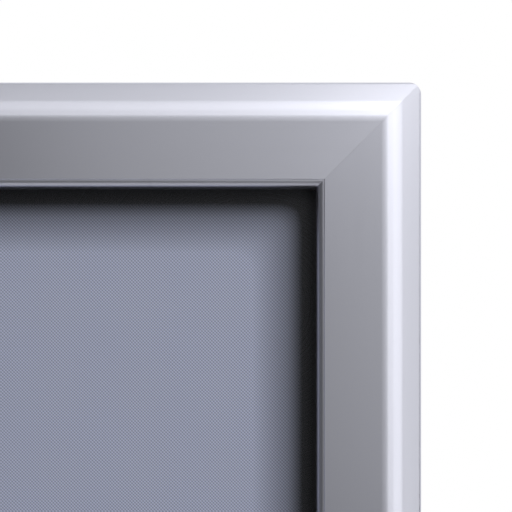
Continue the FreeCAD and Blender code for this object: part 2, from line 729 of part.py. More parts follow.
def main():
    os.makedirs("parts", exist_ok=True)
    for panel in PANELS:
        make_frame(panel)
        make_legs(panel)
        make_hinge(panel)
    for name, sign in SIDES.items():
        export(f"{name}_hinge_pin", to_world(hinge_pin(sign), "front"))
    make_stays()


main()
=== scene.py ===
import json
import math

import bpy
from mathutils import Matrix, Vector


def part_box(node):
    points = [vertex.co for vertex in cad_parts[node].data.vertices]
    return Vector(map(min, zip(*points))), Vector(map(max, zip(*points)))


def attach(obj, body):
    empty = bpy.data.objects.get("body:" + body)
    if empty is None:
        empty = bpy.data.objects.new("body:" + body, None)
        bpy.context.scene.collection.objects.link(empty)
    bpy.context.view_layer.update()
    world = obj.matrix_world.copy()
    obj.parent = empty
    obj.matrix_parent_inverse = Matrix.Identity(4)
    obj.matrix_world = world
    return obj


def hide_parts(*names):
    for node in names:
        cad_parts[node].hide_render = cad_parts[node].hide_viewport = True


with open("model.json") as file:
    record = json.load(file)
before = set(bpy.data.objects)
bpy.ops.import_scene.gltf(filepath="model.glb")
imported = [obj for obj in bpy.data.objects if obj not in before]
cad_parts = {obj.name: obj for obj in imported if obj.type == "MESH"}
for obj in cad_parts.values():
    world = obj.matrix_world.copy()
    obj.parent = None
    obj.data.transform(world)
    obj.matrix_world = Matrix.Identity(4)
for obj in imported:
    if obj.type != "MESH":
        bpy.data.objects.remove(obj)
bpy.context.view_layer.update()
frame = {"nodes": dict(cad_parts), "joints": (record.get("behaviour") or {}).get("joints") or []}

# ------------------------------------------------------------------ camera
# It looks square at the front panel's upper right corner from 300 mm away, a little below the
# middle of what it takes in, so the rear panel stays hidden behind the front one.

# Each panel was drawn upright with its origin on the hinge axis, then leaned back about that axis.
# A panel's matrix takes upright places to where the panel stands; the rear one also faces about.
fold = next(joint for joint in frame["joints"] if joint["name"] == "fold")
hinge_height = fold["pos_m"][2]
lean = math.radians(fold["range_deg"][1] / 2)
to_axis = Matrix.Translation((0, 0, hinge_height))
panel_matrix = {
    "front": to_axis @ Matrix.Rotation(-lean, 4, "X"),
    "rear": to_axis @ Matrix.Rotation(lean, 4, "X") @ Matrix.Rotation(math.pi, 4, "Z"),
}


def upright_box(panel, node):
    """Lowest and highest corner of a CAD node, measured in its panel's upright frame."""
    to_upright = panel_matrix[panel].inverted()
    points = [to_upright @ vertex.co for vertex in frame["nodes"][node].data.vertices]
    low = Vector([min(point[i] for point in points) for i in range(3)])
    high = Vector([max(point[i] for point in points) for i in range(3)])
    return low, high


mm = 0.001
rail_low, rail_high = upright_box("front", "front_right_snap_rail")
half_width = rail_high.x
face_front = rail_low.y
frame_top = upright_box("front", "front_top_snap_rail")[1].z

camera_distance = 300 * mm
view_width = 155.7 * mm
aim_inset = 50.87 * mm
aim_drop = 53.6 * mm
camera_drop = 15 * mm
camera_data = bpy.data.cameras.new("camera")
camera_data.lens = camera_data.sensor_width * camera_distance / view_width
camera_data.shift_y = camera_drop / view_width
camera_data.clip_start = 0.01
camera = bpy.data.objects.new("camera", camera_data)
bpy.context.scene.collection.objects.link(camera)
camera_height = frame_top - aim_drop - camera_drop
camera_place = Vector((half_width - aim_inset, face_front - camera_distance, camera_height))
facing = Matrix.Rotation(math.pi / 2, 4, "X")
camera.matrix_world = panel_matrix["front"] @ Matrix.Translation(camera_place) @ facing
bpy.context.scene.camera = camera


# ------------------------------------------------------------------ floor and light
# A pale round floor. A tall softbox stands to the right of the board's face, a wide one above it and
# a square one past its upper right corner, with two weak fills in front and low down.
class Value:
    """A shader socket that takes part in plain arithmetic."""

    def __init__(self, look, socket):
        self.look = look
        self.socket = socket

    def math(self, operation, first, second):
        return self.look.math_node(operation, first, second)

    def __add__(self, other):
        return self.math("ADD", self, other)

    def __radd__(self, other):
        return self.math("ADD", other, self)

    def __sub__(self, other):
        return self.math("SUBTRACT", self, other)

    def __rsub__(self, other):
        return self.math("SUBTRACT", other, self)

    def __mul__(self, other):
        return self.math("MULTIPLY", self, other)

    def __rmul__(self, other):
        return self.math("MULTIPLY", other, self)

    def __truediv__(self, other):
        return self.math("DIVIDE", self, other)


class Look:
    """One material: a Principled shader with the nodes that feed it."""

    def __init__(self, name, **constants):
        self.material = bpy.data.materials.new(name)
        self.material.use_nodes = True
        self.tree = self.material.node_tree
        self.shader = self.tree.nodes["Principled BSDF"]
        self.set(**constants)

    def set(self, **sockets):
        """Set or link the shader's own sockets; Base_Color means Base Color."""
        for name, value in sockets.items():
            self.fill(self.shader.inputs[name.replace("_", " ")], value)

    def fill(self, socket, value):
        """Link a value to a socket, or write a number or a colour into it."""
        if isinstance(value, Value):
            self.tree.links.new(value.socket, socket)
        elif socket.type == "RGBA":
            socket.default_value = (*value[:3], 1)
        else:
            socket.default_value = value

    def node(self, kind, settings, inputs, output=0):
        """Add a node: its type, its own settings, and the values or links of its sockets."""
        node = self.tree.nodes.new("ShaderNode" + kind)
        for name, value in settings.items():
            if name == "stops":
                while len(node.color_ramp.elements) < len(value):
                    node.color_ramp.elements.new(0.5)
                for stop, (place, colour) in zip(node.color_ramp.elements, value):
                    stop.position = place
                    stop.color = (*colour, 1)
            else:
                setattr(node, name, value)
        for name, value in inputs.items():
            self.fill(node.inputs[name], value)
        return Value(self, node.outputs[output])

    def place(self, scale, turn=(0, 0, 0)):
        """Object coordinates, turned and scaled."""
        spot = self.node("TexCoord", {}, {}, "Object")
        turned_spot = self.node("Mapping", {"vector_type": "POINT"}, {"Vector": spot, "Rotation": turn})
        return self.node("Mapping", {"vector_type": "POINT"}, {"Vector": turned_spot, "Scale": scale})

    def math_node(self, operation, first, second=0.0):
        """A Math node on two values or numbers."""
        return self.node("Math", {"operation": operation}, {0: first, 1: second})

    def noise(self, where, detail):
        return self.node("TexNoise", {}, {"Vector": where, "Scale": 1.0, "Detail": detail})

    def blend(self, factor, first, second):
        """Mix two colours by a factor."""
        return self.node("Mix", {"data_type": "RGBA"}, {0: factor, 6: first, 7: second}, 2)

    def bump(self, height, distance, strength):
        bump = self.node("Bump", {}, {"Height": height, "Distance": distance, "Strength": strength})
        self.set(Normal=bump)


def clear_selection():
    """Leave edit mode and deselect every object."""
    if bpy.context.object and bpy.context.object.mode != "OBJECT":
        bpy.ops.object.mode_set(mode="OBJECT")
    bpy.ops.object.select_all(action="DESELECT")


floor_radius = 1.15
floor_middle = (0, 0.45, 0)
floor_look = Look("studio_floor", Roughness=0.9)
speckle = floor_look.noise(floor_look.place((9, 9, 9)), detail=3)
floor_look.set(Base_Color=floor_look.blend(speckle, (0.86, 0.86, 0.87), (0.90, 0.90, 0.905)))
clear_selection()
bpy.ops.mesh.primitive_circle_add(vertices=96, radius=floor_radius, fill_type="NGON", location=floor_middle)
floor = bpy.context.object
floor.name = "studio_floor"
floor.data.materials.append(floor_look.material)


def softbox(name, place, aim, width, height, power, colour):
    """An area light at a place in the front panel's upright frame, aimed at another place there."""
    data = bpy.data.lights.new(name, "AREA")
    data.shape = "RECTANGLE"
    data.size = width
    data.size_y = height
    data.energy = power
    data.color = colour
    light = bpy.data.objects.new(name, data)
    bpy.context.scene.collection.objects.link(light)
    start = panel_matrix["front"] @ Vector(place)
    target = panel_matrix["front"] @ Vector(aim)
    light.location = start
    light.rotation_euler = (target - start).to_track_quat("-Z", "Y").to_euler()


# Each softbox: its place from the frame's corner, its width, its height and its power.
frame_corner_place = Vector((half_width, face_front, frame_top))
softbox_white = (0.97, 0.98, 1.0)
softboxes = {
    "side_softbox": ((0.50, -0.97, 0.15), 0.64, 1.8, 5.1),
    "top_softbox": ((-0.03, -0.94, 0.57), 1.2, 0.6, 2.65),
    "edge_softbox": ((0.75, -0.40, 0.70), 0.7, 0.7, 3.0),
    "front_fill": ((-0.10, -1.03, -0.08), 0.56, 0.75, 0.47),
    "low_fill": ((-0.1, -0.6, -0.95), 0.8, 0.5, 0.2),
}
for name, (offset, width, height, power) in softboxes.items():
    place = frame_corner_place + Vector(offset)
    softbox(name, place, frame_corner_place, width, height, power, softbox_white)

# The room is white behind the board, above it and to the right, and dim on the other sides.
brightest_way = (0.6, 1.0, 0.6)
dim_side = 0.11
bright_side = 0.9
fully_bright_at = 0.5
world = bpy.data.worlds.new("studio")
bpy.context.scene.world = world
world.use_nodes = True
room = world.node_tree
backdrop = room.nodes["Background"]
backdrop.inputs["Color"].default_value = (1, 1, 1, 1)
backdrop.inputs["Strength"].default_value = 1.0
around = room.nodes.new("ShaderNodeBackground")
around.inputs["Color"].default_value = (0.95, 0.97, 1.0, 1)
toward = room.nodes.new("ShaderNodeTexCoord")
brighter_way = room.nodes.new("ShaderNodeVectorMath")
brighter_way.operation = "DOT_PRODUCT"
brighter_way.inputs[1].default_value = brightest_way
behind = room.nodes.new("ShaderNodeMapRange")
behind.interpolation_type = "SMOOTHSTEP"
behind.inputs["From Min"].default_value = 0.0
behind.inputs["From Max"].default_value = fully_bright_at
behind.inputs["To Min"].default_value = dim_side
behind.inputs["To Max"].default_value = bright_side
ray = room.nodes.new("ShaderNodeLightPath")
either = room.nodes.new("ShaderNodeMixShader")
room.links.new(toward.outputs["Generated"], brighter_way.inputs[0])
room.links.new(brighter_way.outputs["Value"], behind.inputs["Value"])
room.links.new(behind.outputs["Result"], around.inputs["Strength"])
room.links.new(ray.outputs["Is Camera Ray"], either.inputs["Fac"])
room.links.new(around.outputs[0], either.inputs[1])
room.links.new(backdrop.outputs[0], either.inputs[2])
room.links.new(either.outputs[0], room.nodes["World Output"].inputs["Surface"])
bpy.context.scene.view_settings.view_transform = "Standard"

# ------------------------------------------------------------------ legs
# Four rectangular tubes of drawn aluminium, sawn to length and drilled for their rivets. Drawing
# leaves faint lines along the tube, and the anodised skin is satin.
def dress(look, *names):
    """Give CAD nodes a material in place of their own."""
    for name in names:
        mesh = frame["nodes"][name].data
        mesh.materials.clear()
        mesh.materials.append(look.material)


tilt = {"front": lean, "rear": -lean}


def drawn_look(name, colour, worn, roughness, turn, scale):
    """Satin metal with lines along the way it was drawn, and patches a little more worn."""
    look = Look(name, Metallic=1.0)
    lines = look.noise(look.place(scale, turn), detail=2)
    grit = look.noise(look.place((1500, 1500, 1500)), detail=2)
    patches = look.noise(look.place((22, 22, 22)), detail=3)
    look.set(Base_Color=look.blend(patches, colour, worn))
    look.set(Roughness=roughness + (lines - 0.5) * 0.12 + (grit - 0.5) * 0.08 + (patches - 0.5) * 0.05)
    look.bump(lines * 0.6 + grit * 0.4, 0.00002, 0.35)
    return look


along_x = (12, 1300, 1300)
along_z = (1300, 1300, 12)
for panel in panel_matrix:
    turn = (tilt[panel], 0, 0)
    leg_look = drawn_look(f"leg_{panel}", (0.62, 0.62, 0.66), (0.56, 0.56, 0.60), 0.36, turn, along_z)
    dress(leg_look, f"{panel}_left_leg", f"{panel}_right_leg")

# ------------------------------------------------------------------ feet
# Moulded black rubber boots pushed over the leg ends, with three ribs round the collar and a sole
# cut level with the floor.
def extrude_to(step):
    """Extrude what is selected by a step."""
    bpy.ops.mesh.extrude_region_move(TRANSFORM_OT_translate={"value": step})


def soften(radius, segments, angle=50):
    """Bevel every sharp edge of the mesh being edited."""
    bpy.ops.mesh.select_mode(type="EDGE")
    bpy.ops.mesh.select_all(action="DESELECT")
    bpy.ops.mesh.edges_select_sharp(sharpness=math.radians(angle))
    bpy.ops.mesh.bevel(offset=radius, offset_type="OFFSET", segments=segments, profile=0.5, affect="EDGES")


def settle(piece, name, matrix, body, look, slot_name, *replaced):
    """Finish a piece: outward normals, its place in the world, material, smoothing and body."""
    bpy.ops.object.mode_set(mode="EDIT")
    bpy.ops.mesh.select_all(action="SELECT")
    bpy.ops.mesh.normals_make_consistent(inside=False)
    bpy.ops.object.mode_set(mode="OBJECT")
    piece.name = name
    piece.data.transform(matrix)
    piece.data.materials.append(look.material)
    clear_selection()
    piece.select_set(True)
    bpy.context.view_layer.objects.active = piece
    bpy.ops.object.shade_smooth_by_angle(angle=math.radians(28))
    weighted = piece.modifiers.new("weighted", "WEIGHTED_NORMAL")
    weighted.keep_sharp = True
    bpy.ops.object.modifier_apply(modifier="weighted")
    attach(piece, body)
    if replaced:
        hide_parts(*replaced)


rubber_look = Look("black_rubber", Metallic=0.0)
skin = rubber_look.noise(rubber_look.place((700, 700, 700)), detail=3)
dust = rubber_look.noise(rubber_look.place((60, 60, 60)), detail=4)
rubber_look.set(Base_Color=rubber_look.blend(dust, (0.012, 0.012, 0.013), (0.035, 0.034, 0.033)))
rubber_look.set(Roughness=0.62 + dust * 0.25)
rubber_look.bump(skin, 0.00005, 0.5)

# Heights down the collar in millimetres, ribs and grooves by turns, and how far a groove steps in.
rib_drops = (3.0, 1.3, 3.2, 1.3, 3.2, 1.3)
groove_ratio = (0.955, 0.91, 1)
sole_round = 0.35 * mm
for panel, matrix in panel_matrix.items():
    floor_point = matrix.inverted() @ Vector((0, 0, 0))
    floor_normal = matrix.inverted().to_3x3() @ Vector((0, 0, -1))
    for side in ("left", "right"):
        low, high = upright_box(panel, f"{panel}_{side}_foot")
        middle = (low + high) / 2
        clear_selection()
        bpy.ops.mesh.primitive_plane_add(size=1, location=(middle.x, middle.y, high.z))
        piece = bpy.context.object
        piece.scale = (high.x - low.x, high.y - low.y, 1)
        bpy.ops.object.transform_apply(location=True, rotation=True, scale=True)
        bpy.ops.object.mode_set(mode="EDIT")
        bpy.ops.mesh.select_mode(type="FACE")
        bpy.ops.mesh.select_all(action="SELECT")
        for index, drop in enumerate(rib_drops):
            extrude_to((0, 0, -drop * mm))
            extrude_to((0, 0, 0))
            ratio = groove_ratio if index % 2 == 0 else tuple(1 / part for part in groove_ratio)
            bpy.ops.transform.resize(value=ratio)
        extrude_to((0, 0, low.z - high.z))
        bpy.ops.mesh.select_all(action="SELECT")
        bpy.ops.mesh.bisect(plane_co=floor_point, plane_no=floor_normal, use_fill=True, clear_outer=True)
        soften(sole_round, 3)
        name = f"{panel}_{side}_boot"
        settle(piece, name, matrix, panel, rubber_look, "black_rubber", f"{panel}_{side}_foot")

# ------------------------------------------------------------------ leg caps
# Push-in plugs of black polypropylene that close the tube tops, with a fine spark-eroded grain.
plastic_look = Look("black_plastic", Metallic=0.0)
spark = plastic_look.noise(plastic_look.place((1200, 1200, 1200)), detail=2)
scuff = plastic_look.noise(plastic_look.place((150, 150, 150)), detail=4)
plastic_look.set(Base_Color=plastic_look.blend(scuff, (0.015, 0.015, 0.016), (0.045, 0.045, 0.047)))
plastic_look.set(Roughness=0.42 + scuff * 0.2)
plastic_look.bump(spark, 0.00004, 0.6)
dress(plastic_look, "front_leg_caps", "rear_leg_caps")

# ------------------------------------------------------------------ base rails
# Aluminium extrusions, mill finish, cut at 45 degrees and riveted down onto the legs. They carry
# the round socket for the snap rails and the ledge for the panel.
mill_finish = ((0.52, 0.52, 0.54), (0.44, 0.44, 0.47), 0.42)
for panel in panel_matrix:
    upright_look = drawn_look(f"base_upright_{panel}", *mill_finish, (tilt[panel], 0, 0), along_z)
    dress(upright_look, f"{panel}_left_base_rail", f"{panel}_right_base_rail")
    level_look = drawn_look(f"base_level_{panel}", *mill_finish, (0, 0, 0), along_x)
    dress(level_look, f"{panel}_top_base_rail", f"{panel}_bottom_base_rail")

# ------------------------------------------------------------------ frame rivets
# Blind rivets of aluminium through the side base rails into the legs, domed, with the hole left by
# the broken-off mandrel.
def islands(panel, node, reach):
    """Boxes of the solids in one CAD node, each smaller than reach, in the panel's upright frame."""
    to_upright = panel_matrix[panel].inverted()
    groups = []
    for vertex in frame["nodes"][node].data.vertices:
        point = to_upright @ vertex.co
        group = next((group for group in groups if (group[0] - point).length < reach), None)
        if group is None:
            groups.append([point])
        else:
            group.append(point)
    return [
        (Vector(map(min, zip(*group))), Vector(map(max, zip(*group))))
        for group in groups
    ]


def turned(steps, sides=32):
    """A round part along Z, turned to (radius, height) steps in millimetres."""
    clear_selection()
    radius, height = steps[0]
    bpy.ops.mesh.primitive_circle_add(
        vertices=sides, radius=radius * mm, fill_type="NGON", location=(0, 0, height * mm)
    )
    bpy.ops.object.transform_apply(location=True, rotation=True, scale=True)
    piece = bpy.context.object
    bpy.ops.object.mode_set(mode="EDIT")
    bpy.ops.mesh.select_mode(type="FACE")
    bpy.ops.mesh.select_all(action="SELECT")
    for next_radius, next_height in steps[1:]:
        extrude_to((0, 0, (next_height - height) * mm))
        ratio = next_radius / radius
        bpy.ops.transform.resize(value=(ratio, ratio, 1))
        radius, height = next_radius, next_height
    bpy.ops.object.mode_set(mode="OBJECT")
    return piece


def copies(piece, places):
    """Twins of a piece at every place, joined into one; the piece itself is dropped."""
    clear_selection()
    everyone = []
    for place in places:
        twin = bpy.data.objects.new(piece.name, piece.data.copy())
        bpy.context.scene.collection.objects.link(twin)
        twin.data.transform(place)
        everyone.append(twin)
    bpy.data.objects.remove(piece)
    for twin in everyone:
        twin.select_set(True)
    bpy.context.view_layer.objects.active = everyone[0]
    bpy.ops.object.join()
    return bpy.context.object


rivet_head_height = 1.2
rivet_head = [
    (2.4, 0), (4.4, 0), (4.4, 0.25), (4.1, 0.6), (3.4, 0.95), (2.4, 1.15),
    (1.5, rivet_head_height), (1.3, rivet_head_height), (1.15, 0.35),
]
frame_rivet_reach = 16 * mm
rivet_look = Look("rivet_aluminium", Metallic=1.0)
dents = rivet_look.noise(rivet_look.place((500, 500, 500)), detail=3)
rivet_look.set(Base_Color=rivet_look.blend(dents, (0.66, 0.66, 0.67), (0.52, 0.52, 0.54)))
rivet_look.set(Roughness=0.28 + dents * 0.2)
rivet_look.bump(dents, 0.00005, 0.4)
to_front = Matrix.Rotation(math.pi / 2, 4, "X")
for panel, matrix in panel_matrix.items():
    places = []
    node = f"{panel}_frame_rivets"
    for low, high in islands(panel, node, frame_rivet_reach):
        seat = Vector(((low.x + high.x) / 2, low.y + rivet_head_height * mm, (low.z + high.z) / 2))
        places.append(Matrix.Translation(seat) @ to_front)
    piece = copies(turned([(2.4, -2.8)] + rivet_head), places)
    settle(piece, f"{panel}_rivet_heads", matrix, panel, rivet_look, "rivet_aluminium", node)

# ------------------------------------------------------------------ corner keys and screws
# L-shaped keys of zinc-plated steel in the base rails' channels, clamped by hexagon-headed screws
# with a washer face.
zinc_look = Look("zinc_plated_steel", Metallic=1.0)
bloom = zinc_look.noise(zinc_look.place((90, 90, 90)), detail=4)
flecks = zinc_look.noise(zinc_look.place((900, 900, 900)), detail=2)
zinc_look.set(Base_Color=zinc_look.blend(bloom, (0.60, 0.62, 0.66), (0.46, 0.47, 0.50)))
zinc_look.set(Roughness=0.26 + bloom * 0.22 + (flecks - 0.5) * 0.08)
zinc_look.bump(flecks, 0.00003, 0.4)
dress(zinc_look, "front_corner_keys", "rear_corner_keys")
screw_top = 1.5
screw_steps = [(2.0, -2.4), (2.0, 0), (3.4, 0), (3.4, 0.3), (3.05, 0.35), (3.05, 1.25), (2.7, screw_top)]
screw_reach = 9 * mm
for panel, matrix in panel_matrix.items():
    places = []
    node = f"{panel}_corner_screws"
    for low, high in islands(panel, node, screw_reach):
        seat = Vector(((low.x + high.x) / 2, low.y + screw_top * mm, (low.z + high.z) / 2))
        places.append(Matrix.Translation(seat) @ to_front)
    piece = copies(turned(screw_steps, 6), places)
    settle(piece, f"{panel}_key_screws", matrix, panel, zinc_look, "zinc_plated_steel", node)

# ------------------------------------------------------------------ leaf springs
# Arched strips of blued spring steel, three to a rail, lying in the base rails' channels. They throw
# the snap rails over centre, open or shut.
spring_look = Look("spring_steel", Metallic=1.0)
temper = spring_look.noise(spring_look.place((60, 60, 60)), detail=3)
scale_marks = spring_look.noise(spring_look.place((1100, 1100, 1100)), detail=2)
spring_look.set(Base_Color=spring_look.blend(temper, (0.20, 0.21, 0.25), (0.34, 0.31, 0.28)))
spring_look.set(Roughness=0.30 + temper * 0.15)
spring_look.bump(scale_marks, 0.00002, 0.4)
dress(spring_look, "front_leaf_springs", "rear_leaf_springs")

# ------------------------------------------------------------------ back panels
# Steel sheet with a blue-grey powder coat, laid on the base rails' ledges behind the cover sheet.
# The coat is finely pebbled and a little uneven.
panel_look = Look("grey_panel", Metallic=0.0)
mottle = panel_look.noise(panel_look.place((30, 30, 30)), detail=4)
pebbles = panel_look.noise(panel_look.place((1400, 1400, 1400)), detail=2)
panel_look.set(Base_Color=panel_look.blend(mottle, (0.27, 0.29, 0.40), (0.30, 0.32, 0.43)))
panel_look.set(Roughness=0.50 + mottle * 0.22)
panel_look.bump(pebbles, 0.00004, 0.4)
dress(panel_look, "front_back_panel", "rear_back_panel")

# ------------------------------------------------------------------ cover sheets
# Clear PVC film with an anti-glare side outward, pressed with a fine linen grain on the slant. Its
# edges lie deep under the lips, and painted shade darkens the film's colour toward them.
rail_face = rail_high.x - rail_low.x
frame_bottom = upright_box("front", "front_bottom_snap_rail")[0].z
frame_height = frame_top - frame_bottom
frame_centre = (frame_top + frame_bottom) / 2
lip_side = half_width - rail_face
lip_half_height = frame_height / 2 - rail_face
# Painted shade: within this distance of the lips the film's colour is darkened, standing in for the shadow
# the lips cast.
shadow_width = 20 * mm
shadow_blend = 0.55
thread_scale = (430, 430, 430)
weave = {"wave_type": "BANDS", "bands_direction": "X", "wave_profile": "SIN"}
wander = {"Scale": 1.0, "Distortion": 1.6, "Detail": 1.0, "Detail Scale": 0.35}
for panel, matrix in panel_matrix.items():
    cover_look = Look(f"anti_glare_cover_{panel}", Metallic=0.0, IOR=1.5)
    upright = cover_look.place((1, 1, 1), (tilt[panel], 0, 0))
    parts = cover_look.node("SeparateXYZ", {}, {0: upright}, 0)
    across = cover_look.math_node("ABSOLUTE", parts)
    height = Value(cover_look, parts.socket.node.outputs[2])
    middle = Matrix.Rotation(tilt[panel], 3, "X") @ (matrix @ Vector((0, 0, frame_centre)))
    along = cover_look.math_node("ABSOLUTE", height - middle.z)
    from_side = (lip_side - across) / shadow_width
    from_end = (lip_half_height - along) / shadow_width
    edge = cover_look.node("Math", {"operation": "SMOOTH_MIN"}, {0: from_side, 1: from_end, 2: shadow_blend})
    # This ramp runs from near black at the lips to full colour. It is painted shadow, not a dark edge on the
    # film.
    shade = cover_look.node(
        "ValToRGB",
        {"stops": ((0.21, (0.01, 0.01, 0.01)), (0.45, (0.42, 0.42, 0.42)), (1.0, (1, 1, 1)))},
        {"Fac": edge},
    )
    weft_slant = cover_look.place(thread_scale, (tilt[panel], math.radians(45), 0))
    warp_slant = cover_look.place(thread_scale, (tilt[panel], math.radians(-45), 0))
    weft = cover_look.node("TexWave", weave, {"Vector": weft_slant, **wander}, 1)
    warp = cover_look.node("TexWave", weave, {"Vector": warp_slant, **wander}, 1)
    threads = weft * 0.6 + warp * 0.4
    film = cover_look.blend(threads, (0.26, 0.28, 0.37), (0.74, 0.78, 0.98))
    multiply = {"data_type": "RGBA", "blend_type": "MULTIPLY"}
    # The film's colour multiplied by the painted shade near the lips.
    film_with_painted_shade = cover_look.node("Mix", multiply, {0: 1.0, 6: film, 7: shade}, 2)
    cover_look.set(Base_Color=film_with_painted_shade, Roughness=0.55 + threads * 0.2, Alpha=0.8)
    cover_look.bump(threads, 0.00003, 0.5)
    dress(cover_look, f"{panel}_cover_sheet")

# ------------------------------------------------------------------ snap rails
# Anodised aluminium cover extrusions, cut at 45 degrees with rounded corners. A bead along each
# skirt hooks into the base rail's socket, and a rib underneath meets the leaf springs.
frame_corner = 4.4 * mm
corner_cuts = 6
mitre_gap = 0.015 * mm

# The rail's section as (inset, depth) in millimetres, and the edges along it that are rounded.
outer_edge = (0.0, 12.10)
ridge_outer = (7.6, 14.45)
ridge_inner = (11.6, 14.85)
lip_step = (30.7, 11.42)
lip_edge = (32.0, 10.20)
section = [
    (0.0, 5.67), outer_edge, ridge_outer, ridge_inner, (29.7, 11.83), (29.88, 11.60), lip_step,
    lip_edge, (32.0, 3.70), (30.8, 3.70), (30.8, 9.60), (28.6, 10.40), (12.1, 13.20),
    (12.1, 10.60), (11.1, 10.60), (11.1, 13.35), (5.6, 12.55), (1.0, 11.10), (1.0, 5.67),
]
rounded_edges = [
    (outer_edge, 0.8 * mm, 5),
    (ridge_outer, 1.7 * mm, 10),
    (ridge_inner, 1.1 * mm, 8),
    (lip_step, 0.45 * mm, 4),
    (lip_edge, 0.7 * mm, 5),
]

# The relief cut at each end of the skirt: a square block turned 45 degrees. The middle of its cutting
# face lies so far in from the rail's end, forward of the rail's back and below its outer face.
relief_side = 12 * mm
relief_middle = (1.9 * mm, 7.6 * mm, 0.25 * mm)
relief_thickness = 2.5 * mm

# The bead: its middle, radius and neck in millimetres.
bead_inset = 3.6
bead_depth = 5.6
bead_radius = 1.1
bead_neck = 0.45
bead_top = 12.2
bead_setback = 22 * mm


def draw_outline(points, start):
    """Draw a closed outline from (inset, depth) points by extruding one vertex, then fill it."""
    clear_selection()
    place = start + Vector((0, -points[0][1] * mm, -points[0][0] * mm))
    bpy.ops.mesh.primitive_plane_add(size=1 * mm, location=place)
    bpy.ops.object.transform_apply(location=True, rotation=True, scale=True)
    bpy.ops.object.mode_set(mode="EDIT")
    bpy.ops.mesh.select_mode(type="VERT")
    bpy.ops.mesh.select_all(action="SELECT")
    bpy.ops.mesh.merge(type="CENTER")
    for (inset, depth), (next_inset, next_depth) in zip(points, points[1:]):
        extrude_to((0, -(next_depth - depth) * mm, -(next_inset - inset) * mm))
    bpy.ops.mesh.select_all(action="SELECT")
    bpy.ops.mesh.edge_face_add()
    return bpy.context.object


def draw_out(points, start, length):
    """Extrude an outline along X into a closed piece. Left in edit mode."""
    piece = draw_outline(points, start)
    bpy.ops.mesh.select_all(action="SELECT")
    extrude_to((length, 0, 0))
    bpy.ops.mesh.select_all(action="SELECT")
    bpy.ops.mesh.normals_make_consistent(inside=False)
    return piece


def arc(centre, radius, start, end, count):
    """Points of an arc in (inset, depth), between two angles in degrees."""
    turns = [math.radians(start + (end - start) * step / count) for step in range(count + 1)]
    return [(centre[0] + radius * math.cos(turn), centre[1] + radius * math.sin(turn)) for turn in turns]


def round_long_edge(piece, corner, radius, segments, top):
    """Bevel the edge that runs the rail's length at one corner of its section."""
    inset, depth = corner
    where = Vector((0, -depth * mm, top - inset * mm))
    bpy.ops.mesh.select_all(action="DESELECT")
    bpy.ops.object.mode_set(mode="OBJECT")
    for edge in piece.data.edges:
        one, two = (piece.data.vertices[index].co for index in edge.vertices)
        near = all((Vector((0, end.y, end.z)) - where).length < 0.02 * mm for end in (one, two))
        edge.select = near and abs(one.x - two.x) > 1 * mm
    bpy.ops.object.mode_set(mode="EDIT")
    bpy.ops.mesh.select_mode(type="EDGE")
    bpy.ops.mesh.bevel(offset=radius, offset_type="OFFSET", segments=segments, profile=0.5, affect="EDGES")


def slice_off(point, normal):
    """Cut away what lies beyond a plane and close the cut."""
    bpy.ops.mesh.select_all(action="SELECT")
    bpy.ops.mesh.bisect(plane_co=point, plane_no=normal, use_fill=True, clear_outer=True)


def cut_out(piece, cutter):
    """Cut one closed piece out of another, and drop the cutter."""
    bpy.ops.object.mode_set(mode="OBJECT")
    clear_selection()
    piece.select_set(True)
    bpy.context.view_layer.objects.active = piece
    modifier = piece.modifiers.new("cut", "BOOLEAN")
    modifier.object = cutter
    modifier.operation = "DIFFERENCE"
    modifier.solver = "EXACT"
    bpy.ops.object.modifier_apply(modifier="cut")
    bpy.data.objects.remove(cutter)


def relieve_skirt(piece, end, length, distance):
    """Cut a small 45-degree wedge off the skirt at one end, so neighbours can stand open together."""
    along = end * (length / 2 - relief_middle[0] + relief_side / math.sqrt(8))
    clear_selection()
    bpy.ops.mesh.primitive_cube_add(
        size=1,
        location=(along, relief_side / math.sqrt(8) - relief_middle[1], distance - relief_middle[2]),
        rotation=(0, 0, math.radians(45)),
    )
    cutter = bpy.context.object
    cutter.scale = (relief_side, relief_side, relief_thickness)
    bpy.ops.object.transform_apply(location=True, rotation=True, scale=True)
    cut_out(piece, cutter)


def make_snap_rail(length, distance):
    """A snap rail along X about the frame's centre, with its outer edge at a distance above it."""
    piece = draw_out(section, Vector((-length / 2, 0, distance)), length)
    for corner, radius, segments in rounded_edges:
        round_long_edge(piece, corner, radius, segments, distance)
    for end in (-1, 1):
        centre = Vector((end * (length / 2 - frame_corner), 0, distance - frame_corner))
        for cut in range(1, corner_cuts):
            turn = math.radians(45 * cut / (corner_cuts - 1))
            normal = Vector((end * math.sin(turn), 0, math.cos(turn)))
            slice_off(centre + normal * frame_corner, normal)
        slice_off((end * (length / 2 - mitre_gap), 0, distance), (end, 0, -1))
    for end in (-1, 1):
        bpy.ops.object.mode_set(mode="OBJECT")
        relieve_skirt(piece, end, length, distance)
    return piece


def make_bead(length, distance):
    """The round bead on its neck, closed at both ends and short of the corners."""
    spread = math.degrees(math.asin(bead_neck / bead_radius))
    outline = arc((bead_inset, bead_depth), bead_radius, 90 + spread, 450 - spread, 22)
    outline += [(bead_inset + bead_neck, bead_top), (bead_inset - bead_neck, bead_top)]
    start = Vector((-length / 2 + bead_setback, 0, distance))
    piece = draw_out(outline, start, length - 2 * bead_setback)
    soften(0.12 * mm, 2, 60)
    return piece


def satin_look(name, turn, scale):
    """Satin anodised aluminium: an even, slightly violet grey with fine grain and faint long lines."""
    look = Look(name, Metallic=1.0)
    grain = look.noise(look.place((1600, 1600, 1600)), detail=2)
    lines = look.noise(look.place(scale, turn), detail=2)
    handling = look.noise(look.place((14, 14, 14)), detail=4)
    look.set(Base_Color=look.blend(handling, (0.70, 0.70, 0.765), (0.675, 0.675, 0.74)))
    look.set(Roughness=0.34 + (grain - 0.5) * 0.10 + (lines - 0.5) * 0.06 + (handling - 0.5) * 0.04)
    look.bump(grain * 0.7 + lines * 0.3, 0.00002, 0.35)
    return look


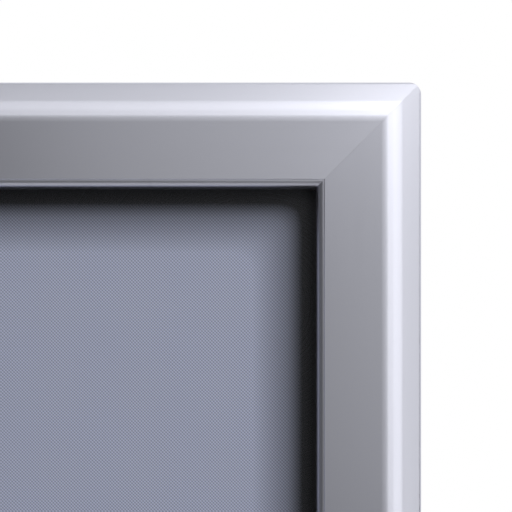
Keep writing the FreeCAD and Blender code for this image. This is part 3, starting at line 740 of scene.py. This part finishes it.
level_satin = satin_look("satin_aluminium_level", (0, 0, 0), along_x)
frame_back = upright_box("front", "front_right_base_rail")[1].y
turns = {"top": 0, "right": 90, "bottom": 180, "left": -90}
for panel, matrix in panel_matrix.items():
    upright_satin = satin_look(f"satin_aluminium_{panel}", (tilt[panel], 0, 0), along_z)
    for side, turn in turns.items():
        if side in ("top", "bottom"):
            run, look = (2 * half_width, frame_height / 2), level_satin
        else:
            run, look = (frame_height, half_width), upright_satin
        world_side = {"left": "right", "right": "left"}.get(side, side) if panel == "rear" else side
        spin = Matrix.Rotation(math.radians(turn), 4, "Y")
        place = matrix @ Matrix.Translation((0, frame_back, frame_centre)) @ spin
        body = f"{panel}_{world_side}_snap"
        cover = make_snap_rail(*run)
        settle(cover, f"{body}_cover", place, body, look, "satin_aluminium", f"{body}_rail")
        bead = make_bead(*run)
        settle(bead, f"{body}_bead", place, body, look, "satin_aluminium")

# ------------------------------------------------------------------ hinge plates
# Pressed steel plates, zinc plated, riveted to the inner sides of the legs. The rear pair steps
# inboard past the front pair to share the pin.
dress(zinc_look, *[f"{panel}_{side}_hinge_plate" for panel in panel_matrix for side in ("left", "right")])

# ------------------------------------------------------------------ hinge rivets
# Domed blind rivets of aluminium, two to a plate, set from the middle of the board through the plate
# and the leg's inner wall.
def toward_middle(x):
    """A turn that points a part made along Z from the side at x toward the middle of the board."""
    return Matrix.Rotation(-math.copysign(math.pi / 2, x), 4, "Y")


hinge_rivet_reach = 14 * mm
for panel, matrix in panel_matrix.items():
    places = []
    node = f"{panel}_hinge_rivets"
    for low, high in islands(panel, node, hinge_rivet_reach):
        middle = (low + high) / 2
        inner = min(abs(low.x), abs(high.x)) + rivet_head_height * mm
        seat = Vector((math.copysign(inner, middle.x), middle.y, middle.z))
        places.append(Matrix.Translation(seat) @ toward_middle(middle.x))
    piece = copies(turned([(2.4, -5.2)] + rivet_head), places)
    settle(piece, f"{panel}_plate_rivets", matrix, panel, rivet_look, "rivet_aluminium", node)

# ------------------------------------------------------------------ hinge pins
# Turned steel pins on the fold line, zinc plated, with a broad domed head toward the middle of the
# board and a chamfered far end.
pin_top = 1.8
pin_steps = [
    (3.1, -5.6), (3.5, -5.2), (3.5, 0), (6.0, 0), (6.0, 0.7), (5.6, 1.2), (4.4, 1.6), (2.2, pin_top),
]
for side in ("left", "right"):
    low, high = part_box(f"{side}_hinge_pin")
    middle = (Vector(low) + Vector(high)) / 2
    inner = min(abs(low[0]), abs(high[0])) + pin_top * mm
    seat = Vector((math.copysign(inner, middle.x), middle.y, middle.z))
    piece = turned(pin_steps)
    place = Matrix.Translation(seat) @ toward_middle(middle.x)
    settle(piece, f"{side}_fold_pin", place, "front", zinc_look, "zinc_plated_steel", f"{side}_hinge_pin")

# ------------------------------------------------------------------ stays
# Flat bars of zinc-plated steel with a pressed stiffening bead, blanked with round ends, a pivot
# hole and a slot that runs over the pin on the rear leg.

# Sizes of the bar in millimetres; the rib starts and ends so far from the pivot and the slot.
stay_half = 5.0
stay_thickness = 2.0
slot_half = 3.15
pivot_hole_radius = 3.06
rib_half = 1.7
rib_rise = 0.5
rib_from_pivot = 24
rib_from_slot = 22
pin_reach = 20 * mm


def capsule(start, end, radius):
    """A round-ended outline along Y between two places in millimetres."""
    return arc((0, -end), radius, 180, 360, 16) + arc((0, -start), radius, 0, 180, 16)


def punch(bar, outline):
    """Cut an outline right through the bar."""
    cutter = draw_out(outline, Vector((-stay_thickness / 2 * mm, 0, 0)), 2 * stay_thickness * mm)
    cut_out(bar, cutter)


joint_at = {joint["name"]: Vector(joint["pos_m"]) for joint in frame["joints"]}
stay_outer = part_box("right_stay")[1][0]
for side, sign in (("left", -1), ("right", 1)):
    pivot = joint_at[f"{side}_stay_swing"]
    pin_boxes = islands("rear", "stay_slot_pins", pin_reach)
    pins = [panel_matrix["rear"] @ ((low + high) / 2) for low, high in pin_boxes]
    pin = next(pin for pin in pins if pin.x * sign > 0)
    # The pin's distance from the pivot with the board open, and below with the board folded flat.
    reach = math.hypot(pin.y - pivot.y, pin.z - pivot.z) / mm
    slope = math.atan2(pin.z - pivot.z, pin.y - pivot.y)
    front_up = panel_matrix["front"].inverted() @ pivot
    rear_up = panel_matrix["rear"].inverted() @ pin
    folded = math.hypot(front_up.y + rear_up.y, front_up.z - rear_up.z) / mm
    bar = draw_out(capsule(0, reach, stay_half), Vector((0, 0, 0)), stay_thickness * mm)
    punch(bar, capsule(folded, reach, slot_half))
    punch(bar, arc((0, 0), pivot_hole_radius, 0, 360, 32)[:-1])
    rib_outline = capsule(rib_from_pivot, folded - rib_from_slot, rib_half)
    draw_out(rib_outline, Vector((-rib_rise * mm, 0, 0)), 2 * rib_rise * mm)
    soften(0.3 * mm, 3)
    bpy.ops.object.mode_set(mode="OBJECT")
    bar.select_set(True)
    bpy.context.view_layer.objects.active = bar
    bpy.ops.object.join()
    bpy.ops.object.mode_set(mode="EDIT")
    soften(0.25 * mm, 2)
    bpy.ops.object.mode_set(mode="OBJECT")
    inward = Matrix.Translation((stay_outer - stay_thickness * mm, 0, 0))
    mirror = Matrix.Diagonal((sign, 1, 1, 1))
    place = Matrix.Translation((0, pivot.y, pivot.z)) @ Matrix.Rotation(slope, 4, "X") @ mirror @ inward
    settle(bar, f"{side}_stay_bar", place, f"{side}_stay", zinc_look, "zinc_plated_steel", f"{side}_stay")

# ------------------------------------------------------------------ stay pivots and slot pins
# Shouldered rivets with a washer under a domed head: tight in the front legs, and in the rear legs
# with the bar's slot running over the shank.
shoulder = [
    (3.0, -4.4), (3.0, -0.3), (5.6, -0.3), (5.6, 0.0), (4.9, 0.0), (4.9, 0.35), (4.5, 0.9),
    (3.4, 1.25), (1.8, 1.35),
]
head_seat = stay_outer - (stay_thickness + 0.65) * mm
for panel, node in (("front", "stay_pivot_rivets"), ("rear", "stay_slot_pins")):
    places = []
    for low, high in islands(panel, node, pin_reach):
        middle = (low + high) / 2
        seat = Vector((math.copysign(head_seat, middle.x), middle.y, middle.z))
        places.append(Matrix.Translation(seat) @ toward_middle(middle.x))
    piece = copies(turned(shoulder), places)
    settle(piece, f"{node}_turned", panel_matrix[panel], panel, zinc_look, "zinc_plated_steel", node)
